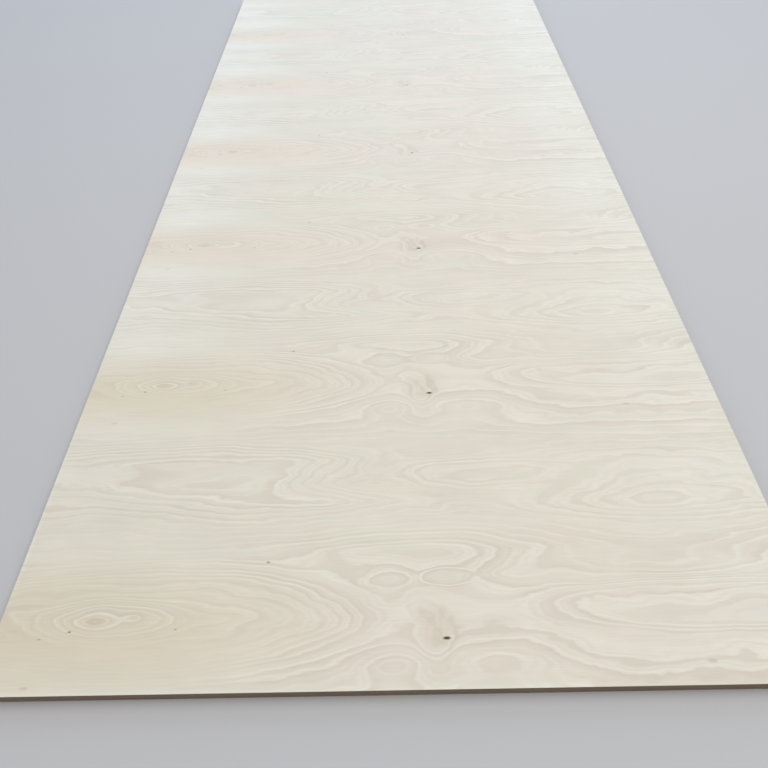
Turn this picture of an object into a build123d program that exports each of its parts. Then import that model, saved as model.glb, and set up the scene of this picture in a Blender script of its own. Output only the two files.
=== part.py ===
from build123d import *
from math import pi
import os

# One full sheet of pale birch plywood, lying flat on its back face.
#
# The sheet is a flat block of thin veneers glued crosswise, pressed, sawn square to
# size and sanded on both faces. Its face is one long ribbon that was peeled off a
# turning log, so a knot that the knife met on the log comes back once in every turn.
#
# Frame, in millimetres: X runs across the sheet, along the grain of its faces, Y runs
# along the sheet, Z is up, and the origin is the middle of the back face.

# Sheet as sawn: a cross-grain sheet, whose long side runs across the face grain.
sheet_width = 1250.0
sheet_length = 3000.0

# Lay-up: an odd number of veneers, and what the sander takes off each face.
veneer_count = 13
peeled_veneer = 1.4
sanding_loss = 0.1

# Edges and corners: sawn square, with their sharpness taken off.
corner_round = 1.0
arris_round = 0.5

# Peeled log: its girth where the knife first met the knot that this sheet shows.
girth_at_first_knot = 509.0

# Pin knot that fell out of the face veneer and left an open pit along the grain.
first_knot_from_end = 76.0
knot_from_centre_line = 62.0
knot_mouth_length = 9.0
knot_mouth_width = 4.0
knot_floor_length = 6.0
knot_floor_width = 2.4

sheet_thickness = veneer_count * peeled_veneer - 2 * sanding_loss
face_veneer = peeled_veneer - sanding_loss
girth_lost_each_turn = 2 * pi * peeled_veneer

# Each turn takes one veneer off the log's radius, so the knot comes round sooner
# every time, until the far end of the sheet.
knot_places = []
girth = girth_at_first_knot
along_sheet = first_knot_from_end
while along_sheet < sheet_length - knot_mouth_width:
    knot_places.append((knot_from_centre_line, along_sheet - sheet_length / 2))
    along_sheet += girth
    girth -= girth_lost_each_turn

with BuildPart() as plywood_sheet:
    # The pressed block, sawn to a rectangle.
    with BuildSketch() as sawn_outline:
        Rectangle(sheet_width, sheet_length)
        fillet(sawn_outline.vertices(), radius=corner_round)
    extrude(amount=sheet_thickness)

    # Both faces have their arris eased all the way round.
    faces_up_and_down = plywood_sheet.faces().filter_by(Axis.Z)
    fillet(faces_up_and_down.edges(), radius=arris_round)

    # The open pin knots: each is an oval mouth in the top face, which narrows to a
    # small floor on the first glue line.
    for place in knot_places:
        with BuildSketch(Plane.XY.offset(sheet_thickness)):
            with Locations(place):
                Ellipse(knot_mouth_length / 2, knot_mouth_width / 2)
        with BuildSketch(Plane.XY.offset(sheet_thickness - face_veneer)):
            with Locations(place):
                Ellipse(knot_floor_length / 2, knot_floor_width / 2)
        loft(mode=Mode.SUBTRACT)

plywood_sheet.part.label = "plywood_sheet"
os.makedirs("parts", exist_ok=True)
export_step(plywood_sheet.part, "parts/plywood_sheet.step")
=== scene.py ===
from math import ceil, floor, pi, radians

import bmesh
import bpy
from mathutils import Matrix, Vector, noise


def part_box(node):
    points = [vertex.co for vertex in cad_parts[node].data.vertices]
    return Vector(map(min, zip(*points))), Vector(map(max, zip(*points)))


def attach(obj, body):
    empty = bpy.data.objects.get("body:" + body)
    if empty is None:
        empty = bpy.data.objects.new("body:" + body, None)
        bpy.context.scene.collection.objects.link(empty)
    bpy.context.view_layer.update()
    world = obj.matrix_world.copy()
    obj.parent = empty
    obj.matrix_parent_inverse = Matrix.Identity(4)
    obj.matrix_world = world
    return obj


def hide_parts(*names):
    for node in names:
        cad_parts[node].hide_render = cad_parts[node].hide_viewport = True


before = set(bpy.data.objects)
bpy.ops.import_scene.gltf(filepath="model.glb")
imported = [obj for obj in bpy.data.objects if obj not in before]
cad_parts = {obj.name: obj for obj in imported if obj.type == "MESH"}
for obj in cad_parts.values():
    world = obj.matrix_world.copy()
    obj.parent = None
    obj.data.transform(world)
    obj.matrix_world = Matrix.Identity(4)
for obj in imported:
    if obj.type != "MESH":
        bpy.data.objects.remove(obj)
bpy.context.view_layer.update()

# Face veneer.
# The good side of the sheet is one ribbon of birch, peeled off a turning log with its
# grain across the sheet, glued over the crosswise veneer below, sawn and sanded. Where
# a pin knot fell out of the ribbon, a small dark pit goes down to the first glue line.

sheet_low, sheet_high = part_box("plywood_sheet")
half_width = (sheet_high.x - sheet_low.x) / 2
half_length = (sheet_high.y - sheet_low.y) / 2
peeled_veneer = 0.0014
sanding_loss = 0.0001
sanded_veneer = peeled_veneer - sanding_loss
corner_round = 0.001
arris_round = 0.0005

girth_at_first_knot = 0.509
girth_lost_each_turn = 2 * pi * peeled_veneer
first_knot_from_end = 0.076
knot_from_centre_line = 0.062
knot_mouth_length = 0.009
knot_mouth_width = 0.004
first_knot_y = sheet_low.y + first_knot_from_end
knot_across = knot_from_centre_line - sheet_low.x


def add_node(tree, kind, *inputs, **settings):
    """A shader node with its settings and, in their order, its inputs: sockets or values."""
    made = tree.nodes.new(kind)
    for name, value in settings.items():
        setattr(made, name, value)
    for socket, value in zip(made.inputs, inputs):
        if isinstance(value, bpy.types.NodeSocket):
            tree.links.new(value, socket)
        elif value is not None:
            socket.default_value = value
    return made


def maths(tree, operation, *inputs):
    """The result of a Math node."""
    return add_node(tree, "ShaderNodeMath", *inputs, operation=operation).outputs["Value"]


def times(tree, first, second):
    """Two values multiplied."""
    return maths(tree, "MULTIPLY", first, second)


def vector_maths(tree, operation, *inputs):
    """The vector result of a Vector Math node."""
    return add_node(tree, "ShaderNodeVectorMath", *inputs, operation=operation).outputs["Vector"]


def length_of(tree, vector):
    """The length of a vector."""
    return add_node(tree, "ShaderNodeVectorMath", vector, operation="LENGTH").outputs["Value"]


def join_xyz(tree, x, y, z):
    """A vector of three values."""
    return add_node(tree, "ShaderNodeCombineXYZ", x, y, z).outputs["Vector"]


def split_xyz(tree, vector):
    """The three values of a vector."""
    parts = add_node(tree, "ShaderNodeSeparateXYZ", vector).outputs
    return parts["X"], parts["Y"], parts["Z"]


def remap(tree, value, low_in, high_in, low_out=0.0, high_out=1.0, curve="SMOOTHSTEP"):
    """value taken from one range to another, held at both ends."""
    made = add_node(
        tree, "ShaderNodeMapRange", value, low_in, high_in, low_out, high_out, interpolation_type=curve
    )
    return made.outputs["Result"]


def tint(tree, share, below, above, blend="MIX"):
    """above laid on below, by its share."""
    made = tree.nodes.new("ShaderNodeMix")
    made.data_type = "RGBA"
    made.blend_type = blend
    for name, value in (("Factor_Float", share), ("A_Color", below), ("B_Color", above)):
        socket = next(s for s in made.inputs if s.identifier == name)
        if isinstance(value, bpy.types.NodeSocket):
            tree.links.new(value, socket)
        elif isinstance(value, float):
            socket.default_value = value
        else:
            socket.default_value = (*value, 1.0)
    return next(s for s in made.outputs if s.identifier == "Result_Color")


def shaded(tree, colour, shade):
    """colour made lighter or darker by a shade round one."""
    grey = add_node(tree, "ShaderNodeCombineColor", shade, shade, shade).outputs["Color"]
    return tint(tree, 1.0, colour, grey, "MULTIPLY")


def stretched_noise(tree, place, size, detail, roughness=0.5, seed=0.0):
    """Noise from 0 to 1 whose grains are as long, wide and thick as size."""
    scaled = vector_maths(tree, "DIVIDE", place, size)
    shifted = vector_maths(tree, "ADD", scaled, (seed, seed, seed))
    made = add_node(tree, "ShaderNodeTexNoise", shifted, None, 1.0, detail, roughness)
    return made.outputs["Fac"]


def random_tone(tree, number):
    """A value from 0 to 1 of its own for each whole number."""
    return add_node(tree, "ShaderNodeTexWhiteNoise", None, number, noise_dimensions="1D").outputs["Value"]


def sockets(kind, *names):
    """Sockets of one kind, as new_group takes them: Float, Vector or Color."""
    return {name: "NodeSocket" + kind for name in names}


def new_group(name, inputs, outputs):
    """An empty node group with named inputs and outputs: its tree, its inputs and its last node."""
    tree = bpy.data.node_groups.new(name, "ShaderNodeTree")
    for label, kind in inputs.items():
        tree.interface.new_socket(label, in_out="INPUT", socket_type=kind)
    for label, kind in outputs.items():
        tree.interface.new_socket(label, in_out="OUTPUT", socket_type=kind)
    return tree, tree.nodes.new("NodeGroupInput").outputs, tree.nodes.new("NodeGroupOutput")


def put_out(tree, result, *values):
    """Link values to a group's outputs, in their order."""
    for socket, value in zip(result.inputs, values):
        tree.links.new(value, socket)


def use_group(tree, group, *inputs):
    """A node that runs the group, and its outputs."""
    made = tree.nodes.new("ShaderNodeGroup")
    made.node_tree = group
    for socket, value in zip(made.inputs, inputs):
        if isinstance(value, bpy.types.NodeSocket):
            tree.links.new(value, socket)
        else:
            socket.default_value = value
    return made.outputs


def turn_group():
    """Where on the log a spot of the ribbon came from.

    The ribbon shortens by one veneer's worth of girth in each turn, so the number of
    turns along it follows from a quadratic in the distance from the first knot.
    """
    tree, given, result = new_group(
        "Place on the log", sockets("Vector", "Place"), sockets("Vector", "Spot", "Log")
    )
    x, y, _ = split_xyz(tree, given["Place"])
    across = maths(tree, "SUBTRACT", x, sheet_low.x)
    along = maths(tree, "SUBTRACT", y, first_knot_y)
    full_girth = girth_at_first_knot + girth_lost_each_turn / 2
    spent = times(tree, along, 2 * girth_lost_each_turn)
    left_over = maths(tree, "SQRT", maths(tree, "SUBTRACT", full_girth**2, spent))
    turn = maths(tree, "DIVIDE", maths(tree, "SUBTRACT", full_girth, left_over), girth_lost_each_turn)
    angle = times(tree, turn, 2 * pi)
    radius = maths(tree, "MULTIPLY_ADD", turn, -peeled_veneer, girth_at_first_knot / (2 * pi))
    beside = times(tree, maths(tree, "COSINE", angle), radius)
    above = times(tree, maths(tree, "SINE", angle), radius)
    put_out(tree, result, join_xyz(tree, across, turn, 0.0), join_xyz(tree, across, beside, above))
    return tree


place_on_log = turn_group()

# A length past the sheet's own, for what has no end across it.
no_end = 9.0


def away_group():
    """How far a spot is from one that comes back in every turn, in shares of a half size."""
    tree, given, result = new_group(
        "Away from", sockets("Vector", "Spot", "Centre", "Half size"), sockets("Float", "Distance")
    )
    away = vector_maths(tree, "SUBTRACT", given["Spot"], given["Centre"])
    away = vector_maths(tree, "WRAP", away, (no_end, 0.5, 1.0), (-no_end, -0.5, -1.0))
    away = vector_maths(tree, "MULTIPLY", away, (1.0, girth_at_first_knot, 0.0))
    share = vector_maths(tree, "DIVIDE", away, given["Half size"])
    put_out(tree, result, length_of(tree, share))
    return tree


away_from = away_group()


def distance_from(tree, spot, across, along, half_x, half_y):
    """How far a spot is from a place across the sheet and along a turn, in shares of a half size."""
    centre = (across, along / girth_at_first_knot, 0.0)
    return use_group(tree, away_from, spot, centre, (half_x, half_y, 1.0))["Distance"]


# What a swell or shoulder of the growth rings is given, and the sums that it adds to: the
# ring number, and the slopes, which are the rings gained in a metre across and along the sheet.
swell_values = ("Across", "Turn", "Centre across", "Centre turn", "Half length", "Half width", "Height")
ring_sums = ("Rings", "Slope across", "Slope along")


def away_on_log(tree, given):
    """How far a spot is from a swell's centre, along the grain and round the log, in half sizes."""
    away = maths(tree, "SUBTRACT", given["Across"], given["Centre across"])
    away = maths(tree, "DIVIDE", away, given["Half length"])
    round_log = maths(tree, "SUBTRACT", given["Turn"], given["Centre turn"])
    round_log = maths(tree, "SUBTRACT", round_log, maths(tree, "ROUND", round_log))
    round_log = maths(tree, "DIVIDE", round_log, given["Half width"])
    return away, round_log


def swell_group():
    """One swell or hollow of the growth rings, which comes back in every turn of the log.

    Its crest is sharper across the grain than along it.
    """
    tree, given, result = new_group(
        "Swell", sockets("Float", *swell_values, *ring_sums), sockets("Float", *ring_sums)
    )
    crest = 0.45
    away, round_log = away_on_log(tree, given)
    rounded = maths(tree, "SQRT", maths(tree, "MULTIPLY_ADD", round_log, round_log, crest**2))
    fall = maths(tree, "SUBTRACT", crest, maths(tree, "MULTIPLY_ADD", away, away, rounded))
    rise = times(tree, maths(tree, "EXPONENT", fall), given["Height"])
    steep = maths(tree, "DIVIDE", times(tree, away, -2.0), given["Half length"])
    across = maths(tree, "MULTIPLY_ADD", steep, rise, given["Slope across"])
    steep = maths(tree, "DIVIDE", round_log, times(tree, rounded, given["Half width"]))
    steep = times(tree, steep, -1 / girth_at_first_knot)
    along = maths(tree, "MULTIPLY_ADD", steep, rise, given["Slope along"])
    put_out(tree, result, maths(tree, "ADD", given["Rings"], rise), across, along)
    return tree


swell = swell_group()


def shoulder_group():
    """A broad level swell of the growth rings with a steep rim, which comes back in every turn."""
    tree, given, result = new_group(
        "Shoulder", sockets("Float", *swell_values, "Rim", *ring_sums), sockets("Float", *ring_sums)
    )
    near_nothing = 0.0001
    away, round_log = away_on_log(tree, given)
    distance = maths(tree, "MULTIPLY_ADD", round_log, round_log, times(tree, away, away))
    distance = maths(tree, "SQRT", maths(tree, "ADD", distance, near_nothing))

    # The rim falls from the height to nothing on a smooth step, half inside and half outside.
    rim = times(tree, given["Rim"], 2.0)
    down = maths(tree, "DIVIDE", maths(tree, "SUBTRACT", distance, 1.0), rim)
    down = maths(tree, "MINIMUM", maths(tree, "MAXIMUM", maths(tree, "ADD", down, 0.5), 0.0), 1.0)
    left = maths(tree, "SUBTRACT", 1.0, down)
    squared = times(tree, left, left)
    share = times(tree, squared, maths(tree, "MULTIPLY_ADD", left, -2.0, 3.0))
    rings = maths(tree, "MULTIPLY_ADD", share, given["Height"], given["Rings"])
    steep = times(tree, times(tree, down, left), -6.0)
    steep = maths(tree, "DIVIDE", steep, times(tree, rim, distance))
    steep = times(tree, steep, given["Height"])
    outward = maths(tree, "DIVIDE", away, given["Half length"])
    across = maths(tree, "MULTIPLY_ADD", steep, outward, given["Slope across"])
    outward = maths(tree, "DIVIDE", round_log, given["Half width"])
    outward = times(tree, outward, 1 / girth_at_first_knot)
    along = maths(tree, "MULTIPLY_ADD", steep, outward, given["Slope along"])
    put_out(tree, result, rings, across, along)
    return tree


shoulder = shoulder_group()

# The swells and hollows of the growth rings that this stretch of the log had. Each has
# its place across the sheet and round the turn, its height in rings, and its half
# length along the grain and half width across it. A shoulder also has a rim.
ring_shoulders = [
    (0.225, 0.038, 3.2, 0.318, 0.090, 0.24),
    (0.215, 0.330, -2.2, 0.270, 0.056, 0.40),
    (0.170, 0.037, 2.4, 0.100, 0.032, 0.40),
    (0.755, 0.309, -2.4, 0.135, 0.029, 0.50),
    (0.692, 0.102, -1.5, 0.038, 0.015, 0.40),
    (1.100, 0.050, 3.0, 0.245, 0.042, 0.30),
]
eye_swells = [
    (0.148, 0.036, 2.6, 0.030, 0.011),
    (0.208, 0.042, 1.0, 0.016, 0.007),
    (0.230, 0.038, 3.8, 0.205, 0.036),
]
knot_swells = [
    (0.668, -0.016, 1.8, 0.024, 0.018),
    (0.681, 0.006, 0.7, 0.016, 0.012),
    (0.669, 0.021, 0.7, 0.016, 0.012),
    (0.656, 0.036, 0.7, 0.017, 0.012),
    (0.641, 0.052, 0.6, 0.020, 0.012),
    (0.606, -0.040, -3.5, 0.052, 0.022),
    (0.772, -0.034, -2.9, 0.080, 0.024),
    (0.605, 0.099, -2.2, 0.036, 0.012),
    (0.800, 0.102, -1.2, 0.060, 0.014),
    (0.650, 0.150, 4.2, 0.170, 0.024),
    (0.560, 0.215, -1.4, 0.260, 0.026),
    (0.650, 0.392, -1.4, 0.260, 0.016),
]
left_basin = [
    (0.215, 0.341, -1.4, 0.120, 0.014),
    (0.520, 0.249, -3.0, 0.150, 0.015),
    (0.330, 0.268, -1.8, 0.200, 0.030),
    (0.540, 0.287, 1.5, 0.120, 0.015),
    (0.470, 0.343, -2.0, 0.110, 0.018),
]
right_basin = [
    (1.100, 0.242, -3.6, 0.225, 0.034),
    (1.064, 0.246, -0.9, 0.060, 0.026),
    (1.030, 0.120, -4.2, 0.190, 0.036),
]
ring_swells = eye_swells + knot_swells + left_basin + right_basin

# The log's ridge, where its rings stand highest, and the rings that the knife has cut
# through after a turn.
ridge_turn = 0.036 / girth_at_first_knot
rings_each_turn = 0.64

# By how many rings the log is out of round in the middle of the sheet, how much more it
# is to the left and to the right, and between which places across that comes in.
middle_oval = 3.4
more_left, left_places = 2.2, (0.26, 0.66)
more_right, right_places = 1.2, (0.74, 1.06)


def oval_group():
    """By how many rings the log is out of round, at a place along it."""
    tree, given, result = new_group("Out of round", sockets("Float", "Across"), sockets("Float", "Rings"))
    left = remap(tree, given["Across"], *left_places, more_left, 0.0, "SMOOTHERSTEP")
    right = remap(tree, given["Across"], *right_places, 0.0, more_right, "SMOOTHERSTEP")
    put_out(tree, result, maths(tree, "ADD", maths(tree, "ADD", left, right), middle_oval))
    return tree


out_of_round = oval_group()

# The lines of a ring, which keep an even width: each is measured in metres where the ring
# is of the usual steepness, in rings a metre, and widens a little where it lies flatter.
usual_steepness = 33.0
steepness_share = 0.55
line_solid, line_reach = 0.0020, 0.0095
pale_soft_start = 0.0030
dark_soft_end = 0.0026
under_start, under_middle, under_end = 0.0040, 0.0075, 0.0125
under_ink = 0.55
least_ink = 0.25
shading_reach = 0.034
soft_side = 0.0060


def line_group():
    """The lines of one set of growth rings, with a tone for each ring and a shading beside its lines.

    Late wood ends a ring as a dark line, and the next ring starts with a pale line that
    has a fainter dark one on its other side.
    """
    tree, given, result = new_group(
        "Ring lines",
        sockets("Float", "Rings", "Steepness"),
        sockets("Float", "Dark", "Pale", "Tone", "Shading"),
    )
    share = maths(tree, "FRACT", given["Rings"])
    number = maths(tree, "FLOOR", given["Rings"])
    spread = maths(tree, "POWER", given["Steepness"], steepness_share)
    spread = times(tree, spread, usual_steepness ** (1 - steepness_share))
    after_start = maths(tree, "DIVIDE", share, spread)
    before_end = maths(tree, "DIVIDE", maths(tree, "SUBTRACT", 1.0, share), spread)
    own_tone = random_tone(tree, number)
    own_ink = maths(tree, "ADD", own_tone, least_ink)
    next_ink = maths(tree, "ADD", random_tone(tree, maths(tree, "ADD", number, 1.0)), least_ink)

    pale = times(tree, remap(tree, after_start, line_reach, line_solid), own_ink)
    pale = times(tree, pale, remap(tree, after_start, 0.0, pale_soft_start))
    under = remap(tree, after_start, under_end, under_middle)
    under = times(tree, under, remap(tree, after_start, under_start, under_middle))
    under = times(tree, times(tree, under, own_ink), under_ink)
    dark = remap(tree, before_end, line_reach, line_solid)
    dark = times(tree, dark, remap(tree, before_end, 0.0, dark_soft_end))
    dark = maths(tree, "MULTIPLY_ADD", dark, next_ink, under)

    soft_start = remap(tree, after_start, 0.0, soft_side)
    soft_sides = times(tree, soft_start, remap(tree, before_end, 0.0, soft_side))
    darkening = times(tree, remap(tree, before_end, shading_reach, line_solid), next_ink)
    lightening = times(tree, remap(tree, after_start, shading_reach, line_solid), own_ink)
    shading = times(tree, maths(tree, "SUBTRACT", lightening, darkening), soft_sides)
    tone = maths(tree, "MULTIPLY_ADD", maths(tree, "SUBTRACT", own_tone, 0.5), soft_sides, 0.5)
    put_out(tree, result, dark, pale, tone, shading)
    return tree


ring_lines = line_group()

# How the rings waver: grain length, width and thickness, height in rings, seed, and whether
# the waver calms down where the rings lie flat.
ring_wavers = [
    ((0.240, 0.080, 0.080), 1.6, 3.0, False),
    ((0.095, 0.031, 0.031), 1.1, 7.0, True),
    ((0.046, 0.015, 0.015), 0.62, 11.0, True),
    ((0.017, 0.006, 0.006), 0.25, 17.0, True),
]
least_steepness = 18.0
calm_until = 42.0
calm_share = 0.22

# The fainter lines between the rings' own: how many to a ring, how far they are shifted,
# how much narrower they are, and how dark and how pale.
lines_each_ring = 2.0
lines_shift = 0.37
lines_narrower = 2.6
faint_dark_share = 0.50
faint_pale_share = 0.40

# Where the rings lie level, and how much of their lines is lost there.
level_until = 40.0
pale_lost = 0.80
dark_lost = 0.50


def figure_group():
    """The growth rings that the knife cut, as dark and pale lines and a tone for each ring."""
    tree, given, result = new_group(
        "Birch figure",
        sockets("Vector", "Place"),
        sockets("Float", "Dark line", "Pale line", "Ring tone", "Shading", "Level"),
    )
    spot, log = use_group(tree, place_on_log, given["Place"])
    across, turn, _ = split_xyz(tree, spot)

    # The log is out of round, so its rings stand highest and lowest once a turn.
    from_ridge = maths(tree, "MULTIPLY_ADD", turn, 2 * pi, -2 * pi * ridge_turn)
    high_low = maths(tree, "COSINE", from_ridge)
    step = 0.002
    oval_here = use_group(tree, out_of_round, across)["Rings"]
    oval_beside = use_group(tree, out_of_round, maths(tree, "ADD", across, step))["Rings"]
    cut_through = times(tree, turn, -rings_each_turn)
    rings = maths(tree, "MULTIPLY_ADD", oval_here, high_low, cut_through)
    widening = maths(tree, "DIVIDE", maths(tree, "SUBTRACT", oval_beside, oval_here), step)
    slope_across = times(tree, widening, high_low)
    falling = times(tree, maths(tree, "SINE", from_ridge), -2 * pi / girth_at_first_knot)
    slope_along = times(tree, falling, oval_here)
    for group, shapes in ((shoulder, ring_shoulders), (swell, ring_swells)):
        for centre_x, centre_y, height, half_x, half_y, *rim in shapes:
            centre = (centre_x, centre_y / girth_at_first_knot)
            half_size = (half_x, half_y / girth_at_first_knot)
            shape = (*centre, *half_size, height, *rim)
            rings, slope_across, slope_along = use_group(
                tree, group, across, turn, *shape, rings, slope_across, slope_along
            )
    steepness = length_of(tree, join_xyz(tree, slope_across, slope_along, least_steepness))

    # The rings also waver, more across the grain than along it, and less where they lie flat.
    calm = remap(tree, steepness, least_steepness, calm_until, calm_share, 1.0)
    for size, height, seed, calms_down in ring_wavers:
        waver = maths(tree, "SUBTRACT", stretched_noise(tree, log, size, 0.0, 0.5, seed), 0.5)
        waver = times(tree, waver, height)
        rings = maths(tree, "MULTIPLY_ADD", waver, calm if calms_down else 1.0, rings)

    # Fainter lines lie between the rings' own, and both fade where the rings lie level.
    dark, pale, tone, shading = use_group(tree, ring_lines, rings, steepness)
    between = maths(tree, "MULTIPLY_ADD", rings, lines_each_ring, lines_shift)
    closer = times(tree, steepness, lines_narrower ** (1 / steepness_share))
    faint_dark, faint_pale, _, _ = use_group(tree, ring_lines, between, closer)
    dark = maths(tree, "MULTIPLY_ADD", faint_dark, faint_dark_share, dark)
    pale = maths(tree, "MULTIPLY_ADD", faint_pale, faint_pale_share, pale)
    level = remap(tree, steepness, level_until, least_steepness)
    dark = times(tree, dark, maths(tree, "MULTIPLY_ADD", level, -dark_lost, 1.0))
    pale = times(tree, pale, maths(tree, "MULTIPLY_ADD", level, -pale_lost, 1.0))
    put_out(tree, result, dark, pale, tone, shading, level)
    return tree


birch_figure = figure_group()

# How long, wide and thick the fibres are.
coarse_fibre = (0.080, 0.0022, 0.0022)
fine_fibre = (0.018, 0.0005, 0.0005)


def fibre_group():
    """Fine fibres along the grain, from 0 to 1, and the sanded relief that they leave."""
    tree, given, result = new_group(
        "Fibres", sockets("Vector", "Place"), sockets("Float", "Streaks", "Relief")
    )
    coarse = stretched_noise(tree, given["Place"], coarse_fibre, 3.0, 0.6, 5.0)
    fine = stretched_noise(tree, given["Place"], fine_fibre, 2.0, 0.6, 8.0)
    both = times(tree, maths(tree, "ADD", coarse, fine), 0.5)
    put_out(tree, result, coarse, both)
    return tree


fibres = fibre_group()

# The sawn edge's own tan and brown, made darker as painted shade for the shadow that the edges lie in.
long_grain_tan_in_shade = (0.290, 0.222, 0.155)
end_grain_brown_in_shade = (0.214, 0.150, 0.101)
glue_brown = (0.085, 0.048, 0.028)

# What the saw shows on an edge, each with its size across, along and up the sheet: torn
# fibres of long grain, pores of end grain, lengths of darker wood, and upright saw marks.
torn_fibre = (0.060, 0.060, 0.0003)
end_pore = (0.0004, 0.0004, 0.0005)
darker_length = (0.090, 0.090, 0.0014)
saw_mark = (0.0011, 0.0011, 0.030)

# A glue line's half thickness, in all and solid, as shares of a veneer.
glue_line = (0.11, 0.03)
glue_strength = 0.9
sawn_roughness = (0.62, 0.80)
saw_mark_depth = 0.0002


def sawn_edge_group():
    """The sawn edge of the glued veneers: long grain and end grain by turns, and dark glue lines."""
    tree, given, result = new_group(
        "Sawn edge",
        sockets("Vector", "Place", "Facing"),
        {**sockets("Color", "Colour"), **sockets("Float", "Relief")},
    )
    _, _, z = split_xyz(tree, given["Place"])
    facing_x, _, _ = split_xyz(tree, given["Facing"])
    height = maths(tree, "DIVIDE", maths(tree, "ADD", z, sanding_loss), peeled_veneer)
    ply = maths(tree, "FLOOR", height)
    to_glue = maths(tree, "PINGPONG", height, 0.5)
    crosswise = maths(tree, "MODULO", ply, 2.0)
    on_long_side = maths(tree, "GREATER_THAN", maths(tree, "ABSOLUTE", facing_x), 0.7)
    end_grain = maths(tree, "ABSOLUTE", maths(tree, "SUBTRACT", crosswise, on_long_side))

    streaks = stretched_noise(tree, given["Place"], torn_fibre, 3.0, 0.6, 2.0)
    pores = stretched_noise(tree, given["Place"], end_pore, 2.0, 0.6, 4.0)
    lengths = stretched_noise(tree, given["Place"], darker_length, 1.0, 0.5, 9.0)
    saw_marks = stretched_noise(tree, given["Place"], saw_mark, 2.0, 0.5, 6.0)

    # Each veneer has a tone of its own, and long grain and end grain are shaded in their ways.
    colour = tint(tree, end_grain, long_grain_tan_in_shade, end_grain_brown_in_shade)
    colour = shaded(tree, colour, remap(tree, random_tone(tree, ply), 0.0, 1.0, 0.86, 1.14, "LINEAR"))
    colour = shaded(tree, colour, remap(tree, lengths, 0.30, 0.70, 0.86, 1.12, "LINEAR"))
    long_grain = shaded(tree, colour, remap(tree, streaks, 0.25, 0.75, 0.84, 1.12, "LINEAR"))
    short_grain = shaded(tree, colour, remap(tree, pores, 0.30, 0.70, 0.72, 1.15, "LINEAR"))
    colour = tint(tree, end_grain, long_grain, short_grain)
    colour = shaded(tree, colour, remap(tree, saw_marks, 0.35, 0.70, 0.92, 1.05, "LINEAR"))
    glue = remap(tree, to_glue, *glue_line)
    colour = tint(tree, times(tree, glue, glue_strength), colour, glue_brown)

    relief = maths(tree, "MULTIPLY_ADD", saw_marks, 0.6, times(tree, pores, end_grain))
    relief = maths(tree, "SUBTRACT", relief, times(tree, glue, 0.5))
    put_out(tree, result, colour, relief)
    return tree


sawn_edge = sawn_edge_group()


def empty_material(name):
    """A material with no nodes yet, and its tree."""
    material = bpy.data.materials.new(name)
    material.use_nodes = True
    material.node_tree.nodes.clear()
    return material, material.node_tree


def wood_surface(tree, colour, roughness, relief, strength, depth):
    """Bare wood of a colour and a roughness, with relief of a strength and a depth in metres."""
    bump = add_node(tree, "ShaderNodeBump", strength, depth, None, relief)
    surface = add_node(tree, "ShaderNodeBsdfPrincipled")
    tree.links.new(colour, surface.inputs["Base Color"])
    tree.links.new(roughness, surface.inputs["Roughness"])
    tree.links.new(bump.outputs["Normal"], surface.inputs["Normal"])
    output = tree.nodes.new("ShaderNodeOutputMaterial")
    tree.links.new(surface.outputs["BSDF"], output.inputs["Surface"])


def sawn_material():
    """The sawn edge, with its veneers, glue lines and saw marks."""
    material, tree = empty_material("Sawn veneers")
    coordinates = add_node(tree, "ShaderNodeTexCoord").outputs
    colour, relief = use_group(tree, sawn_edge, coordinates["Object"], coordinates["Normal"])
    roughness = remap(tree, relief, 0.2, 1.0, *sawn_roughness, "LINEAR")
    wood_surface(tree, colour, roughness, relief, 0.5, saw_mark_depth)
    return material


sawn_veneers = sawn_material()

cream = (0.686, 0.657, 0.545)
rosy_cream = (0.710, 0.633, 0.548)
# Painted light: the colour of the painted sheen and highlight.
painted_light_cream = (0.738, 0.718, 0.636)
tan_cream = (0.640, 0.575, 0.415)
rosy_tan = (0.705, 0.600, 0.475)
late_wood = (0.575, 0.518, 0.405)
toned_wood = (0.630, 0.568, 0.474)
light_wood = (0.745, 0.715, 0.605)
early_wood = (0.775, 0.740, 0.650)
heart_tan = (0.560, 0.455, 0.330)
smoky_tan = (0.500, 0.440, 0.320)
knot_brown = (0.300, 0.200, 0.115)
speck_brown = (0.230, 0.180, 0.125)
bark_brown = (0.080, 0.062, 0.044)

# Bands of other wood that come back every turn: place, half length and width.
rosy_band = (0.62, 0.036 * girth_at_first_knot, no_end, 0.070)
tan_band = (0.10, 0.054 * girth_at_first_knot, 0.56, 0.136)

# Broad drifts, fadings and clouds of the wood: grain length, width and thickness.
rosy_drift = (0.220, 0.080, 0.080)
ring_fading = (0.220, 0.070, 0.070)
wood_cloud = (0.110, 0.040, 0.040)

# Where painted light makes the face lighter, first along and then across: a painted sheen beside the
# right-hand and the left-hand long edge, and a painted highlight in the border along every arris, measured
# from the sheet's sides.
sheen_right_along, sheen_right_across = (-1.5, 0.2), (0.30, 0.58)
sheen_left_along, sheen_left_across = (-1.4, -0.4), (-0.32, -0.56)
arris_highlight_border = (-0.009, -0.003)

# Between which turns the tan wood grows rosy, the shades beside the knots fade to the share
# that is left, and the bark in the knots and their pits thins out to its shares.
tan_grows_rosy = (0.8, 2.2)
shades_fade, shades_left = (1.6, 3.2), 0.35
bark_thins, thin_bark_left = (2.3, 2.7), 0.25
knot_strength = (0.85, 0.30)

sanded_roughness = (0.46, 0.58)
fibre_depth = 0.0003

# How strongly the figure shows: its dark and pale lines, the tone of its rings, the tone of
# rings that lie level with how much of their own tone that takes, and its shading.
dark_line_share = 0.58
pale_line_share = 0.36
ring_tone_share = 0.52
level_tone_share = 0.18
level_tone_lost = 0.45
lightening_share = 0.42
darkening_share = 0.60

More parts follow.
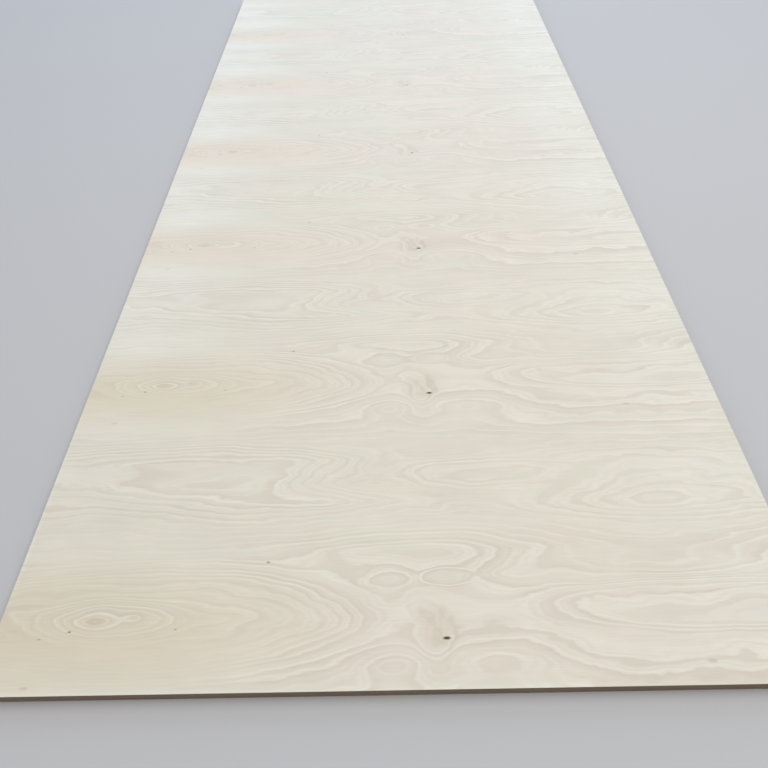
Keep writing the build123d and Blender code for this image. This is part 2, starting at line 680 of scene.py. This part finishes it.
# Stretches where the rings show less: place, half length and width, and what is left.
faint_places = [
    (0.330, 0.060, 0.110, 0.090, 0.75),
    (0.170, 0.160, 0.240, 0.060, 0.35),
    (0.100, 0.098, 0.200, 0.034, 0.60),
    (1.080, 0.242, 0.120, 0.040, 0.50),
    (0.200, 0.330, 0.190, 0.032, 0.70),
    (0.690, -0.046, 0.190, 0.034, 0.62),
    (0.150, -0.046, 0.320, 0.075, 0.12),
]

# The tan hearts of the eye: place, half length and width, and strength.
eye_hearts = [
    (0.148, 0.036, 0.017, 0.008, 0.50),
    (0.208, 0.042, 0.013, 0.006, 0.22),
    (0.000, 0.034, 0.060, 0.034, 0.16),
]

# Small brown specks that come back in every turn: place, half length and width, strength.
specks = [
    (0.113, 0.020, 0.0026, 0.0014, 0.95),
    (0.405, 0.133, 0.0030, 0.0018, 0.75),
    (0.915, 0.061, 0.0060, 0.0030, 0.14),
    (1.069, -0.041, 0.0070, 0.0030, 0.26),
    (0.275, 0.021, 0.0024, 0.0012, 0.55),
    (0.070, 0.009, 0.0030, 0.0014, 0.40),
    (0.072, -0.064, 0.0060, 0.0024, 0.22),
]

# Tan shades round the pin knot: place from it, half length and width, and strength.
knot_shades = [
    (-0.010, -0.004, 0.030, 0.014, 0.26),
    (-0.008, -0.006, 0.009, 0.006, 0.22),
    (-0.016, 0.022, 0.054, 0.050, 0.25),
    (-0.012, 0.012, 0.010, 0.010, 0.22),
    (-0.024, 0.028, 0.010, 0.012, 0.20),
    (-0.037, 0.044, 0.012, 0.012, 0.16),
    (0.014, 0.008, 0.008, 0.014, 0.48),
    (0.008, 0.025, 0.010, 0.020, 0.32),
    (-0.002, 0.042, 0.011, 0.018, 0.26),
]


def ground_colour(tree, place, spot, log, turn):
    """The wood between the lines: cream, with rosy and tan stretches, and lighter ones of painted sheen and
    highlight.
    """
    # The wood is rosy in a band that comes back every turn, and in broad, faint drifts.
    band = remap(tree, distance_from(tree, spot, *rosy_band), 1.4, 0.4, 0.0, 0.65)
    drift = stretched_noise(tree, log, rosy_drift, 3.0, 0.65, 21.0)
    rosy = maths(tree, "ADD", band, remap(tree, drift, 0.38, 0.62, 0.0, 0.72))
    colour = tint(tree, rosy, cream, rosy_cream)

    # Painted sheen makes the face lighter towards the sheet's long edges, more so far out, and a painted
    # highlight along every arris.
    x, y, _ = split_xyz(tree, place)
    along = remap(tree, y, *sheen_right_along, 0.55, 1.0)
    right = times(tree, remap(tree, x, *sheen_right_across), along)
    left = times(tree, remap(tree, x, *sheen_left_across), remap(tree, y, *sheen_left_along))
    from_side = maths(tree, "SUBTRACT", maths(tree, "ABSOLUTE", x), half_width)
    from_end = maths(tree, "SUBTRACT", maths(tree, "ABSOLUTE", y), half_length)
    from_arris = maths(tree, "MAXIMUM", from_side, from_end)
    # Painted highlight: a lighter border along every arris.
    border = remap(tree, from_arris, *arris_highlight_border, 0.0, 0.75)
    painted_light_share = maths(tree, "MAXIMUM", maths(tree, "MAXIMUM", right, left), border)
    colour = tint(tree, painted_light_share, colour, painted_light_cream)

    # The wood round the eye is more tan, in a band across the left of the sheet, and rosier
    # deeper in the log.
    band = remap(tree, distance_from(tree, spot, *tan_band), 1.0, 0.15, 0.0, 0.80)
    tan = tint(tree, remap(tree, turn, *tan_grows_rosy), tan_cream, rosy_tan)
    return tint(tree, band, colour, tan)


def ring_colours(tree, colour, spot, log, figure):
    """Lay the lines, tones and shading of the growth rings on, which come and go over the sheet."""
    dark, pale, ring_tone, shading, level = figure
    fading = stretched_noise(tree, log, ring_fading, 2.0, 0.6, 33.0)
    presence = remap(tree, fading, 0.34, 0.60, 0.55, 1.15)
    for *place, left in faint_places:
        away = distance_from(tree, spot, *place)
        presence = times(tree, presence, remap(tree, away, 0.5, 1.2, left, 1.0))
    dark_share = times(tree, dark, times(tree, presence, dark_line_share))
    pale_share = times(tree, pale, times(tree, presence, pale_line_share))
    colour = tint(tree, dark_share, colour, late_wood)
    colour = tint(tree, pale_share, colour, early_wood)
    tone_share = remap(tree, ring_tone, 0.5, 0.0, 0.0, ring_tone_share, "LINEAR")
    kept = maths(tree, "MULTIPLY_ADD", level, -level_tone_lost, 1.0)
    tone_share = times(tree, times(tree, tone_share, presence), kept)
    tone_share = maths(tree, "MULTIPLY_ADD", level, level_tone_share, tone_share)
    colour = tint(tree, tone_share, colour, toned_wood)
    shading = times(tree, shading, presence)
    lightening = remap(tree, shading, 0.0, 1.0, 0.0, lightening_share, "LINEAR")
    darkening = remap(tree, shading, 0.0, -1.0, 0.0, darkening_share, "LINEAR")
    colour = tint(tree, lightening, colour, light_wood)
    return tint(tree, darkening, colour, toned_wood)


def tint_spots(tree, colour, spot, spots, far, near, above):
    """Lay a colour on oval spots that come back in every turn, soft from far to near."""
    for *place, strength in spots:
        away = distance_from(tree, spot, *place)
        colour = tint(tree, remap(tree, away, far, near, 0.0, strength), colour, above)
    return colour


def knot_colours(tree, colour, place, spot, turn, open_knots):
    """Lay tan wood beside the pin knots, and the bark that fills them or is left in their pits."""
    fading = remap(tree, turn, *shades_fade, 1.0, shades_left)
    for across, along, half_x, half_y, strength in knot_shades:
        away = distance_from(tree, spot, knot_across + across, along, half_x, half_y)
        share = times(tree, remap(tree, away, 1.0, 0.1, 0.0, strength), fading)
        colour = tint(tree, share, colour, smoky_tan)
    knot = distance_from(tree, spot, knot_across, 0.0, knot_mouth_length / 2, knot_mouth_width / 2)
    worn = remap(tree, turn, *bark_thins, *knot_strength)
    colour = tint(tree, times(tree, remap(tree, knot, 1.9, 0.9), worn), colour, knot_brown)
    if not open_knots:
        return colour
    depth = maths(tree, "SUBTRACT", sheet_high.z, split_xyz(tree, place)[2])
    in_pit = times(tree, remap(tree, depth, 0.00003, 0.0004), remap(tree, knot, 1.5, 1.3))
    left = remap(tree, turn, *bark_thins, 1.0, thin_bark_left)
    return tint(tree, times(tree, in_pit, left), colour, bark_brown)


def veneer_material(name, turned, open_knots):
    """Sanded birch veneer. turned gives the back its own stretch of the log, the other way round."""
    material, tree = empty_material(name)
    place = add_node(tree, "ShaderNodeTexCoord").outputs["Object"]
    peeled = place
    if turned:
        further_on = 0.210
        peeled = vector_maths(tree, "MULTIPLY_ADD", place, (-1.0, -1.0, 1.0), (0.0, further_on, 0.0))
    spot, log = use_group(tree, place_on_log, peeled)
    _, turn, _ = split_xyz(tree, spot)
    figure = use_group(tree, birch_figure, peeled)
    streaks, relief = use_group(tree, fibres, peeled)
    colour = ground_colour(tree, place, spot, log, turn)
    colour = ring_colours(tree, colour, spot, log, figure)
    clouds = stretched_noise(tree, log, wood_cloud, 3.0, 0.6, 41.0)
    colour = shaded(tree, colour, remap(tree, clouds, 0.30, 0.70, 0.975, 1.025, "LINEAR"))
    colour = shaded(tree, colour, remap(tree, streaks, 0.25, 0.75, 0.970, 1.030, "LINEAR"))
    colour = tint_spots(tree, colour, spot, eye_hearts, 1.2, 0.5, heart_tan)
    colour = tint_spots(tree, colour, spot, specks, 1.5, 0.4, speck_brown)
    colour = knot_colours(tree, colour, place, spot, turn, open_knots)
    roughness = remap(tree, relief, 0.3, 0.7, *sanded_roughness, "LINEAR")
    wood_surface(tree, colour, roughness, relief, 0.25, fibre_depth)
    return material


grid_step = 0.050
edge_step = 0.006
bevel_segments = 3
same_level = 1e-6


def round_off(made, sharp, radius, affect="EDGES"):
    """Round off edges, or corners where affect is VERTICES."""
    bmesh.ops.bevel(
        made, geom=sharp, offset=radius, segments=bevel_segments, profile=0.5, affect=affect, material=-1
    )


def outer_veneer(glue_z, sanded_z):
    """A bmesh of an outer veneer, sawn square, with the arris of its sanded side eased."""
    made = bmesh.new()
    bmesh.ops.create_cube(made, size=1.0)
    bmesh.ops.scale(made, vec=(2 * half_width, 2 * half_length, abs(sanded_z - glue_z)), verts=made.verts)
    bmesh.ops.translate(made, vec=(0.0, 0.0, (sanded_z + glue_z) / 2), verts=made.verts)
    upright = [e for e in made.edges if abs(e.verts[0].co.z - e.verts[1].co.z) > arris_round]
    round_off(made, upright, corner_round)
    arris = [e for e in made.edges if all(abs(v.co.z - sanded_z) < same_level for v in e.verts)]
    round_off(made, arris, arris_round)

    # The faces are cut into a grid, and the edges into shorter steps for the saw's unevenness.
    for half_size, direction in ((half_width, Vector((1, 0, 0))), (half_length, Vector((0, 1, 0)))):
        count = ceil(half_size / grid_step)
        for number in range(1 - count, count):
            everything = made.verts[:] + made.edges[:] + made.faces[:]
            bmesh.ops.bisect_plane(
                made, geom=everything, dist=1e-7, plane_co=direction * number * grid_step, plane_no=direction
            )
    along_edge = [
        e
        for e in made.edges
        if e.calc_length() > 2 * edge_step
        and (
            all(abs(v.co.x) > half_width - 2 * arris_round for v in e.verts)
            or all(abs(v.co.y) > half_length - 2 * arris_round for v in e.verts)
        )
    ]
    bmesh.ops.subdivide_edges(made, edges=along_edge, cuts=floor(grid_step / edge_step), use_grid_fill=True)
    return made


face_saw_depth = 0.00010
saw_waves_along = 160
saw_waves_up = 2500


def roughen_edges(made, depth, seed):
    """Sink the sawn edges a little and unevenly, as a saw leaves them."""
    for vert in made.verts:
        x, y, z = vert.co
        uneven = noise.noise(Vector((x * saw_waves_along, y * saw_waves_along, z * saw_waves_up + seed)))
        sunk = depth * (0.5 + 0.5 * uneven)
        if abs(x) > half_width - arris_round / 2:
            vert.co.x -= sunk if x > 0 else -sunk
        if abs(y) > half_length - arris_round / 2:
            vert.co.y -= sunk if y > 0 else -sunk


knot_places = []
girth = girth_at_first_knot
along_sheet = first_knot_y
while along_sheet < sheet_high.y - knot_mouth_width:
    knot_places.append((knot_from_centre_line, along_sheet))
    along_sheet += girth
    girth -= girth_lost_each_turn

# The wall of a pit: how deep each step lies, and how much of the mouth's size it has.
pit_steps = [(0.00004, 0.985), (0.00016, 0.93), (0.00055, 0.84), (0.00105, 0.74), (0.00125, 0.62)]
pit_sides = 32
raggedness = 0.10
ragged_waves = 900


def only(kind, grown):
    """The parts of one kind in what an extrusion made."""
    return [part for part in grown if isinstance(part, kind)]


def open_pit(made, place):
    """Cut one open pin knot into the sanded side: an oval hole with walls that close in as they go down."""
    centre = Vector((*place, sheet_high.z))
    face_up = [f for f in made.faces if f.normal.z > 0.99]
    level = [f for f in face_up if abs(f.calc_center_median().z - sheet_high.z) < same_level]
    cell = min(level, key=lambda f: (f.calc_center_median() - centre).length)
    surround = cell.edges[:]
    bmesh.ops.delete(made, geom=[cell], context="FACES_ONLY")
    ring = bmesh.ops.create_circle(made, cap_ends=False, segments=pit_sides, radius=1.0)["verts"]
    bmesh.ops.scale(made, vec=(knot_mouth_length / 2, knot_mouth_width / 2, 1.0), verts=ring)
    bmesh.ops.translate(made, vec=centre, verts=ring)
    for vert in ring:
        away = vert.co - centre
        ragged = 1.0 + raggedness * noise.noise(away * ragged_waves + centre * 7)
        vert.co.xy = (centre + away * ragged).xy
    mouth = list({e for v in ring for e in v.link_edges})
    bmesh.ops.bridge_loops(made, edges=surround + mouth)
    edges = mouth
    shrink = 1.0
    depth = 0.0
    for next_depth, next_shrink in pit_steps:
        grown = bmesh.ops.extrude_edge_only(made, edges=edges)["geom"]
        verts, edges = only(bmesh.types.BMVert, grown), only(bmesh.types.BMEdge, grown)
        step = next_shrink / shrink
        bmesh.ops.scale(made, vec=(step, step, 1.0), space=Matrix.Translation(-centre), verts=verts)
        bmesh.ops.translate(made, vec=(0.0, 0.0, depth - next_depth), verts=verts)
        shrink, depth = next_shrink, next_depth
    bmesh.ops.contextual_create(made, geom=edges)


border_width = 0.002


def at_border(middle):
    """Whether a face's middle lies in the narrow border along the sheet's sides."""
    return max(abs(middle.x) - half_width, abs(middle.y) - half_length) > -border_width


def mark_sawn(made):
    """Give the sawn walls of an outer veneer the second material."""
    for f in made.faces:
        f.material_index = 1 if at_border(f.calc_center_median()) and abs(f.normal.z) < 0.45 else 0


def edge_strip(middle, on_long_side, strip_length):
    """The number of the strip that a face of an unwrapped edge lies in, and where the strip starts.

    The far short side has the first strips, then come the near one, the right-hand long side
    and the left-hand one.
    """
    short_strips = ceil(2 * half_width / strip_length)
    long_strips = ceil(2 * half_length / strip_length)
    if on_long_side:
        first = 2 * short_strips + (0 if middle.x > 0 else long_strips)
        strip = min(floor((middle.y + half_length) / strip_length), long_strips - 1)
    else:
        first = 0 if middle.y > 0 else short_strips
        strip = min(floor((middle.x + half_width) / strip_length), short_strips - 1)
    return first + strip, strip * strip_length


# The unwrapped veneer, in shares of its picture: the two halves of the sanded side below,
# the strips of its edge above them, and the hidden side shrunk into the top left corner.
margin = 0.005
half_room = 0.485
second_half = 0.505
face_room = 0.93
strips_from = 0.938
strip_room, strip_fill = 0.006, 0.7
strip_left, strip_run = 0.04, 0.9
hidden_size, hidden_from = 0.01, 0.985
veneer_strip = 1.0


def unwrap_veneer(made, sanded_z):
    """Lay the sanded side out as two halves side by side, with the sawn edge as strips above them."""
    layer = made.loops.layers.uv.new("OFBake")
    up = 1.0 if sanded_z == sheet_high.z else -1.0
    for f in made.faces:
        middle = f.calc_center_median()
        hidden = f.normal.z * up < -0.9
        sanded = f.normal.z * up > 0.3 or not at_border(middle)
        far_half = middle.y > 0
        on_long_side = abs(f.normal.x) > abs(f.normal.y)
        strip, strip_start = edge_strip(middle, on_long_side, veneer_strip)
        for loop in f.loops:
            x, y, z = loop.vert.co
            across = (x + half_width) / (2 * half_width)
            if hidden:
                along = (y + half_length) / (2 * half_length)
                loop[layer].uv = (hidden_size * across, hidden_from + hidden_size * along)
            elif sanded:
                along = (y if far_half else y + half_length) / half_length
                left = margin + (second_half if far_half else 0.0)
                loop[layer].uv = (left + half_room * across, margin + face_room * along)
            else:
                run = (y + half_length if on_long_side else x + half_width) - strip_start
                rise = (z - sanded_z) / sanded_veneer * up + 1.0
                low = strips_from + strip * strip_room
                loop[layer].uv = (strip_left + strip_run * run, low + rise * strip_room * strip_fill)


def finish_piece(name, made, materials):
    """Turn a bmesh into the named piece, which stands for part of the sheet."""
    mesh = bpy.data.meshes.new(name)
    made.to_mesh(mesh)
    made.free()
    for material in materials:
        mesh.materials.append(material)
    piece = bpy.data.objects.new(name, mesh)
    bpy.context.scene.collection.objects.link(piece)
    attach(piece, "root")
    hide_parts("plywood_sheet")


face = outer_veneer(sheet_high.z - sanded_veneer, sheet_high.z)
for knot_place in knot_places:
    open_pit(face, knot_place)
roughen_edges(face, face_saw_depth, 1.0)
bmesh.ops.recalc_face_normals(face, faces=face.faces)
mark_sawn(face)
unwrap_veneer(face, sheet_high.z)
sanded_face = veneer_material("Sanded birch face", turned=False, open_knots=True)
finish_piece("face_veneer", face, [sanded_face, sawn_veneers])

# Core veneers.
# Eleven more veneers lie between face and back, each with its grain across the next
# one's, so long grain and end grain take turns at the sawn edge. Dark glue lines lie a
# little below the wood, because the saw tears the fibres on both sides of them.

core_low = sheet_low.z + sanded_veneer
core_high = sheet_high.z - sanded_veneer
core_count = round((core_high - core_low) / peeled_veneer)
edge_column = 0.008
glue_groove = 0.00010
groove_slope = 0.00014
veneer_setback = 0.00008
core_saw_depth = 0.00006


def pull_in(verts, inset, next_inset):
    """Change how far an outline's points lie inside the sheet's sawn edge."""
    for vert in verts:
        vert.co.x *= (half_width - next_inset) / (half_width - inset)
        vert.co.y *= (half_length - next_inset) / (half_length - inset)


def core_block():
    """A bmesh of the pressed core: its outline pushed up veneer by veneer, pulled in at each glue line."""
    made = bmesh.new()
    bmesh.ops.create_grid(made, x_segments=1, y_segments=1, size=0.5)
    bmesh.ops.scale(made, vec=(2 * half_width, 2 * half_length, 1.0), verts=made.verts)
    bmesh.ops.translate(made, vec=(0.0, 0.0, core_low), verts=made.verts)
    round_off(made, made.verts[:], corner_round, "VERTICES")
    for edge in [e for e in made.edges if e.calc_length() > 2 * edge_column]:
        cuts = round(edge.calc_length() / edge_column) - 1
        bmesh.ops.subdivide_edges(made, edges=[edge], cuts=cuts)
    top = made.faces[:]
    level, inset = core_low, glue_groove
    pull_in(made.verts, 0.0, inset)
    for ply in range(core_count):
        set_back = veneer_setback * (0.5 + 0.5 * noise.noise(Vector((ply * 3.7, 0.0, 0.0))))
        bottom = core_low + ply * peeled_veneer
        for next_level, next_inset in (
            (bottom + groove_slope, set_back),
            (bottom + peeled_veneer - groove_slope, set_back),
            (bottom + peeled_veneer, glue_groove),
        ):
            grown = bmesh.ops.extrude_face_region(made, geom=top)["geom"]
            verts, top = only(bmesh.types.BMVert, grown), only(bmesh.types.BMFace, grown)
            bmesh.ops.translate(made, vec=(0.0, 0.0, next_level - level), verts=verts)
            pull_in(verts, inset, next_inset)
            level, inset = next_level, next_inset
    return made


core_strip = 0.5
core_strip_left, core_strip_run = 0.02, 0.95
core_strip_low, core_strip_rise = 0.06, 0.88


def unwrap_core(made):
    """Lay the sawn edge out in level strips, each half a metre of it, and the hidden sides above them."""
    layer = made.loops.layers.uv.new("OFBake")
    rows = 2 * ceil(2 * half_width / core_strip) + 2 * ceil(2 * half_length / core_strip) + 1
    for f in made.faces:
        on_long_side = abs(f.normal.x) > abs(f.normal.y)
        strip, strip_start = edge_strip(f.calc_center_median(), on_long_side, core_strip)
        for loop in f.loops:
            x, y, z = loop.vert.co
            if abs(f.normal.z) > 0.9:
                across = (x + half_width) / (2 * half_width)
                along = (y + half_length) / (2 * half_length)
                lift = 0.5 if f.normal.z > 0 else 0.0
                loop[layer].uv = (0.1 * across, (rows - 1 + 0.1 + lift + 0.3 * along) / rows)
            else:
                run = (y + half_length if on_long_side else x + half_width) - strip_start
                rise = (z - core_low) / (core_high - core_low)
                loop[layer].uv = (
                    core_strip_left + core_strip_run * run / core_strip,
                    (strip + core_strip_low + core_strip_rise * rise) / rows,
                )


core = core_block()
roughen_edges(core, core_saw_depth, 5.0)
bmesh.ops.recalc_face_normals(core, faces=core.faces)
unwrap_core(core)
finish_piece("core_veneers", core, [sawn_veneers])

# Back veneer.
# The back is another stretch of the same kind of ribbon, laid with its tight side out,
# sanded as the face is. Its pin knots are whole, so they are brown ovals and not pits.

back = outer_veneer(sheet_low.z + sanded_veneer, sheet_low.z)
roughen_edges(back, face_saw_depth, 9.0)
bmesh.ops.recalc_face_normals(back, faces=back.faces)
mark_sawn(back)
unwrap_veneer(back, sheet_low.z)
sanded_back = veneer_material("Sanded birch back", turned=True, open_knots=False)
finish_piece("back_veneer", back, [sanded_back, sawn_veneers])

# Floor, light and camera.
# A plain pale floor, one broad soft light over the near half of the sheet, a wide cool
# panel beyond its far end, and even light from all round.

floor_colour = (0.50, 0.50, 0.51)
floor_size = 60.0
floor_mesh = bpy.data.meshes.new("floor")
floor_shape = bmesh.new()
bmesh.ops.create_grid(floor_shape, x_segments=1, y_segments=1, size=floor_size / 2)
floor_shape.to_mesh(floor_mesh)
floor_shape.free()
ground = bpy.data.objects.new("floor", floor_mesh)
bpy.context.scene.collection.objects.link(ground)
floor_material = bpy.data.materials.new("Pale floor")
floor_material.use_nodes = True
floor_surface = floor_material.node_tree.nodes["Principled BSDF"]
floor_surface.inputs["Base Color"].default_value = (*floor_colour, 1.0)
floor_surface.inputs["Roughness"].default_value = 0.8
floor_mesh.materials.append(floor_material)


def soft_light(name, place, aim, size, power, colour):
    """Put up a flat light panel at place, facing aim."""
    panel = bpy.data.lights.new(name, "AREA")
    panel.shape = "RECTANGLE"
    panel.size, panel.size_y = size
    panel.energy = power
    panel.color = colour
    lamp = bpy.data.objects.new(name, panel)
    lamp.location = place
    lamp.rotation_euler = (Vector(aim) - Vector(place)).to_track_quat("-Z", "Y").to_euler()
    bpy.context.scene.collection.objects.link(lamp)


warm_white = (1.0, 0.985, 0.965)
cool_white = (0.585, 0.755, 1.0)
soft_light(
    "overhead", (0.9, -0.4, 4.0), aim=(0.5, -0.4, 0.0), size=(7.0, 5.0), power=172.0, colour=warm_white
)
soft_light(
    "far_panel", (-0.9, 7.0, 2.6), aim=(-0.3, 0.0, 0.4), size=(14.0, 4.6), power=456.0, colour=cool_white
)

even_light_strength = 0.37
world = bpy.data.worlds.new("Studio")
world.use_nodes = True
background = world.node_tree.nodes["Background"]
background.inputs["Color"].default_value = (1.0, 1.0, 1.0, 1.0)
background.inputs["Strength"].default_value = even_light_strength
bpy.context.scene.world = world
bpy.context.scene.view_settings.view_transform = "Standard"

# The camera stands where it did for the photo: place in metres, angles in degrees.
camera_place = (-0.011, -1.902, 1.046)
camera_heading = 0.96
camera_tilt = 44.63
camera_roll = -1.97
picture_pixels = 768
focal_pixels = 713
lens = bpy.data.cameras.new("camera")
lens.sensor_width = 36.0
lens.lens = lens.sensor_width * focal_pixels / picture_pixels
lens.clip_start = 0.05
camera = bpy.data.objects.new("camera", lens)
camera_turn = (
    Matrix.Rotation(radians(camera_heading), 4, "Z")
    @ Matrix.Rotation(radians(camera_tilt), 4, "X")
    @ Matrix.Rotation(radians(camera_roll), 4, "Z")
)
camera.rotation_euler = camera_turn.to_euler()
camera.location = camera_place
bpy.context.scene.collection.objects.link(camera)
bpy.context.scene.camera = camera
